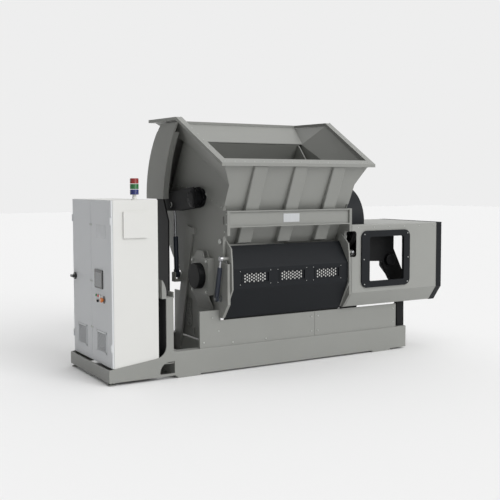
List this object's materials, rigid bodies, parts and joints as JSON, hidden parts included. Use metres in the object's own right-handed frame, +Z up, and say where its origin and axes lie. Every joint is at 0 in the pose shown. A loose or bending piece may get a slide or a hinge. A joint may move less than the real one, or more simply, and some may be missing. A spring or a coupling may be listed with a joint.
{
  "type": "single-shaft shredder",
  "caption": "Industrial shredder: a flared hopper over a knife rotor, a swinging ram at the rear, a hinged front flap, a belt-drive guard and a control cabinet on a welded frame.",
  "frame": {"origin": "on the floor, at the centre of the four anchor bolts", "axes": "+X along the rotor from the control cabinet towards the belt guard, +Y from the front flap to the back, +Z up"},
  "size_m": [5.088, 2.1658, 3.286],
  "materials": {
    "machine_grey": "satin powder coat",
    "charcoal": "satin powder coat",
    "cylinder_blue": "satin paint",
    "chromed_rod": "hard chrome",
    "machined_steel": "turned and brushed",
    "knife_steel": "ground",
    "cast_pulley": "turned rim",
    "belt_rubber": "matte",
    "cabinet_white": "fine textured powder coat",
    "door_grey": "fine textured powder coat",
    "panel_black": "gloss",
    "button_red": "gloss",
    "button_green": "gloss",
    "button_white": "gloss",
    "lamp_plastic": "translucent bands"
  },
  "bodies": {
    "machine": {"base_frame": "machine_grey", "foot_plates": "machine_grey", "cabinet_plinth": "machine_grey", "hydraulic_tank": "charcoal", "pump_motor": "charcoal", "lower_front_sheets": "machine_grey", "lower_side_walls": "machine_grey", "side_plate_left": "machine_grey", "side_plate_right": "machine_grey", "frame_leg": "machine_grey", "cross_beam": "machine_grey", "hopper_walls": "machine_grey", "hopper_ribs": "machine_grey", "hopper_rim": "machine_grey", "ram_housing_sides": "machine_grey", "ram_housing_post": "charcoal", "ram_housing_cover": "machine_grey", "chamber_floor": "machine_grey", "counter_knife": "knife_steel", "screen": "machined_steel", "bearing_housings": "machine_grey", "bearing_cap": "charcoal", "ram_bearing_flanges": "charcoal", "ram_cylinder_bracket": "charcoal", "flap_cylinder_pins": "machined_steel", "guard_box": "machine_grey", "guard_window_frame": "charcoal", "guard_end_trim": "charcoal", "belt_hood": "charcoal", "motor_console": "charcoal", "gearbox": "charcoal", "motor": "charcoal", "drive_belts": "belt_rubber", "cabinet_shell": "cabinet_white", "signal_tower": "lamp_plastic"},
    "rotor": {"rotor_drum": "machined_steel", "rotor_knives": "knife_steel", "rotor_shaft": "machined_steel"},
    "input_shaft": {"driven_pulley": "cast_pulley"},
    "motor_rotor": {"motor_pulley": "cast_pulley"},
    "ram": {"ram_shell": "charcoal", "ram_shaft": "machined_steel", "ram_lever": "charcoal"},
    "ram_barrel": {"ram_cylinder_barrel": "cylinder_blue"},
    "ram_rod": {"ram_cylinder_rod": "chromed_rod"},
    "flap": {"flap_sheet": "charcoal", "flap_mesh": "charcoal", "flap_ears": "machine_grey"},
    "flap_barrels": {"flap_cylinder_barrels": "cylinder_blue"},
    "flap_rods": {"flap_cylinder_rods": "chromed_rod"},
    "front_door": {"cabinet_door_front": "door_grey", "operator_panel": "panel_black"},
    "rear_door": {"cabinet_door_rear": "door_grey"},
    "emergency_stop_head": {"emergency_stop": "button_red"},
    "start_button_cap": {"start_button": "button_green"},
    "stop_button_cap": {"stop_button": "button_red"},
    "ram_button_cap": {"ram_button": "button_white"},
    "flap_button_cap": {"flap_button": "button_white"},
    "mode_knob": {"mode_switch": "panel_black"},
    "main_switch_knob": {"main_switch": "panel_black"}
  },
  "joints": [
    {"name": "rotor_spin", "type": "hinge", "parent": "machine", "child": "rotor", "pos_m": [-0.1215, -0.3, 1.209], "axis": [1, 0, 0], "continuous": true},
    {"name": "input_spin", "type": "hinge", "parent": "machine", "child": "input_shaft", "pos_m": [1.065, -0.3, 1.882], "axis": [1, 0, 0], "continuous": true},
    {"name": "motor_spin", "type": "hinge", "parent": "machine", "child": "motor_rotor", "pos_m": [1.065, 0.24, 1.13], "axis": [1, 0, 0], "continuous": true},
    {"name": "ram_swing", "type": "hinge", "parent": "machine", "child": "ram", "pos_m": [-0.1215, -0.21, 2.222], "axis": [1, 0, 0], "range_deg": [-38, 0]},
    {"name": "ram_cylinder_tilt", "type": "hinge", "parent": "machine", "child": "ram_barrel", "pos_m": [-1.187, 0.365, 1.165], "axis": [1, 0, 0], "range_deg": [-0.5, 18]},
    {"name": "ram_cylinder_stroke", "type": "slide", "parent": "ram_barrel", "child": "ram_rod", "axis": [0, 0.0524, 0.9986], "range_m": [-0.35, 0.004]},
    {"name": "flap_swing", "type": "hinge", "parent": "machine", "child": "flap", "pos_m": [-0.1215, -0.72, 1.675], "axis": [-1, 0, 0], "range_deg": [0, 70]},
    {"name": "flap_cylinder_tilt", "type": "hinge", "parent": "machine", "child": "flap_barrels", "pos_m": [-0.1215, -0.71, 0.946], "axis": [1, 0, 0], "range_deg": [-0.5, 6]},
    {"name": "flap_cylinder_stroke", "type": "slide", "parent": "flap_barrels", "child": "flap_rods", "axis": [0, -0.2253, 0.9743], "range_m": [-0.004, 0.27]},
    {"name": "front_door_hinge", "type": "hinge", "parent": "machine", "child": "front_door", "pos_m": [-2.548, -0.673, 1.2], "axis": [0, 0, 1], "range_deg": [0, 110]},
    {"name": "rear_door_hinge", "type": "hinge", "parent": "machine", "child": "rear_door", "pos_m": [-2.548, 0.663, 1.2], "axis": [0, 0, -1], "range_deg": [0, 110]},
    {"name": "emergency_stop_press", "type": "slide", "parent": "front_door", "child": "emergency_stop_head", "axis": [1, 0, 0], "range_m": [0, 0.006], "stiffness_N_per_m": 1500},
    {"name": "start_button_press", "type": "slide", "parent": "front_door", "child": "start_button_cap", "axis": [1, 0, 0], "range_m": [0, 0.004], "stiffness_N_per_m": 800},
    {"name": "stop_button_press", "type": "slide", "parent": "front_door", "child": "stop_button_cap", "axis": [1, 0, 0], "range_m": [0, 0.004], "stiffness_N_per_m": 800},
    {"name": "ram_button_press", "type": "slide", "parent": "front_door", "child": "ram_button_cap", "axis": [1, 0, 0], "range_m": [0, 0.004], "stiffness_N_per_m": 800},
    {"name": "flap_button_press", "type": "slide", "parent": "front_door", "child": "flap_button_cap", "axis": [1, 0, 0], "range_m": [0, 0.004], "stiffness_N_per_m": 800},
    {"name": "mode_switch_turn", "type": "hinge", "parent": "front_door", "child": "mode_knob", "pos_m": [-2.55, -0.244, 0.972], "axis": [-1, 0, 0], "range_deg": [-45, 45]},
    {"name": "main_switch_turn", "type": "hinge", "parent": "rear_door", "child": "main_switch_knob", "pos_m": [-2.56, 0.584, 1.206], "axis": [-1, 0, 0], "range_deg": [0, 90]}
  ],
  "couplings": [
    {"joint": "input_spin", "follows": "rotor_spin", "ratio": -4},
    {"joint": "motor_spin", "follows": "rotor_spin", "ratio": -12.923},
    {"joint": "ram_cylinder_tilt", "follows": "ram_swing", "ratio": -0.44794},
    {"joint": "ram_cylinder_stroke", "follows": "ram_swing", "m_per_rad": 0.52133},
    {"joint": "flap_cylinder_tilt", "follows": "flap_swing", "ratio": 0.069058},
    {"joint": "flap_cylinder_stroke", "follows": "flap_swing", "m_per_rad": 0.21799}
  ]
}
